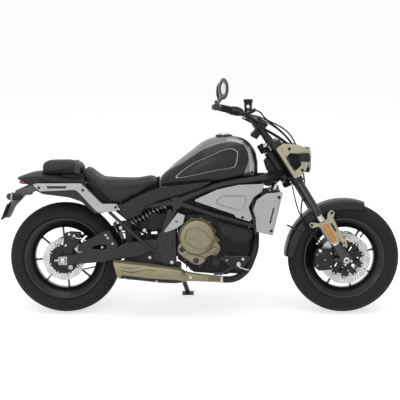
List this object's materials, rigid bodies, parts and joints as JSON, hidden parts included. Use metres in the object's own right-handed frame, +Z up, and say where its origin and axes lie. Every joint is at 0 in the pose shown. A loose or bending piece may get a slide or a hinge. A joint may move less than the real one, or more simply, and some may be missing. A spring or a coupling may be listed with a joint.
{
  "type": "cruiser motorcycle",
  "caption": "Low cruiser motorcycle with a raised fuel tank, stepped seats, cast spoked wheels, belt drive and low exhaust, parked on its side stand.",
  "frame": {"origin": "on the floor under the middle of the bounding box, parked on its side stand", "axes": "+X forward, +Y to the left as the rider sees it, +Z up"},
  "size_m": [2.2076, 0.8727, 1.3268],
  "materials": {
    "tyre": "matt",
    "black_alloy": "gloss black coating",
    "disc_steel": "brushed",
    "fork_tube": "dark gloss",
    "grey_alloy": "satin",
    "gold_alloy": "satin anodised",
    "black_paint": "gloss",
    "black_plastic": "fine grain",
    "gloss_black": "gloss",
    "tank_paint": "metallic gloss",
    "silver_trim": "metallic",
    "bronze_cover": "satin",
    "engine_black": "cast, matt black",
    "seat_cover": "fine grain",
    "lamp_shell": "gloss",
    "amber_lens": "gloss",
    "red_lens": "gloss",
    "rubber": "matt",
    "header_black": "heat-proof matt",
    "axle_steel": "satin",
    "plate_white": "satin"
  },
  "bodies": {
    "chassis": {"frame": "black_paint", "engine": "engine_black", "clutch_cover": "bronze_cover", "alternator_cover": "bronze_cover", "engine_side_cover": "engine_black", "pulley_cover": "black_plastic", "engine_pulley": "grey_alloy", "radiator": "engine_black", "radiator_shrouds": "silver_trim", "fuel_tank": "tank_paint", "filler_neck": "black_plastic", "rider_seat": "seat_cover", "passenger_seat": "seat_cover", "tail_cowl": "black_plastic", "tail_lamp": "red_lens", "side_rails": "silver_trim", "side_panels": "black_plastic", "air_covers": "silver_trim", "swingarm": "black_alloy", "inner_mudguard": "black_plastic", "muffler_bracket": "black_paint", "intake_box": "black_plastic", "shock_absorber": "black_paint", "exhaust_headers": "header_black", "muffler": "bronze_cover", "plate_hanger": "black_plastic", "rear_indicators": "amber_lens", "number_plate": "plate_white", "foot_controls": "black_alloy", "drive_belt": "rubber", "rear_axle": "axle_steel", "rear_caliper": "black_alloy", "stand_bracket": "black_paint"},
    "fork": {"triple_clamps": "black_paint", "fork_legs": "fork_tube", "fork_sliders": "grey_alloy", "fork_brackets": "gold_alloy", "marker_lenses": "amber_lens", "headlight": "lamp_shell", "headlight_brackets": "gold_alloy", "handlebar": "black_paint", "grips": "rubber", "hand_controls": "black_plastic", "mirrors": "black_plastic", "dash": "black_plastic", "front_mudguard": "gloss_black", "front_calipers": "black_alloy", "front_axle": "axle_steel", "brake_hose": "rubber"},
    "front_wheel": {"front_tyre": "tyre", "front_rim": "black_alloy", "front_discs": "disc_steel"},
    "rear_wheel": {"rear_tyre": "tyre", "rear_rim": "black_alloy", "rear_disc": "disc_steel", "rear_pulley": "grey_alloy"},
    "side_stand": {"side_stand": "black_paint"},
    "fuel_cap": {"fuel_cap": "axle_steel"}
  },
  "joints": [
    {"name": "steering", "type": "hinge", "parent": "chassis", "child": "fork", "pos_m": [0.44343, -0.05971, 0.785], "axis": [-0.5255, 0.1331, 0.8403], "range_deg": [-36, 36]},
    {"name": "front_wheel_spin", "type": "hinge", "parent": "fork", "child": "front_wheel", "pos_m": [0.797, -0.13586, 0.30416], "axis": [0, 0.9877, -0.1564], "continuous": true},
    {"name": "rear_wheel_spin", "type": "hinge", "parent": "chassis", "child": "rear_wheel", "pos_m": [-0.743, -0.13586, 0.30416], "axis": [0, 0.9877, -0.1564], "continuous": true},
    {"name": "stand_fold", "type": "hinge", "parent": "chassis", "child": "side_stand", "pos_m": [-0.123, 0.00056, 0.20661], "axis": [0.0461, 0.9087, 0.4149], "range_deg": [0, 95]},
    {"name": "cap_hinge", "type": "hinge", "parent": "chassis", "child": "fuel_cap", "pos_m": [0.16643, -0.02918, 0.97776], "axis": [0, 0.9877, -0.1564], "range_deg": [0, 95]}
  ]
}
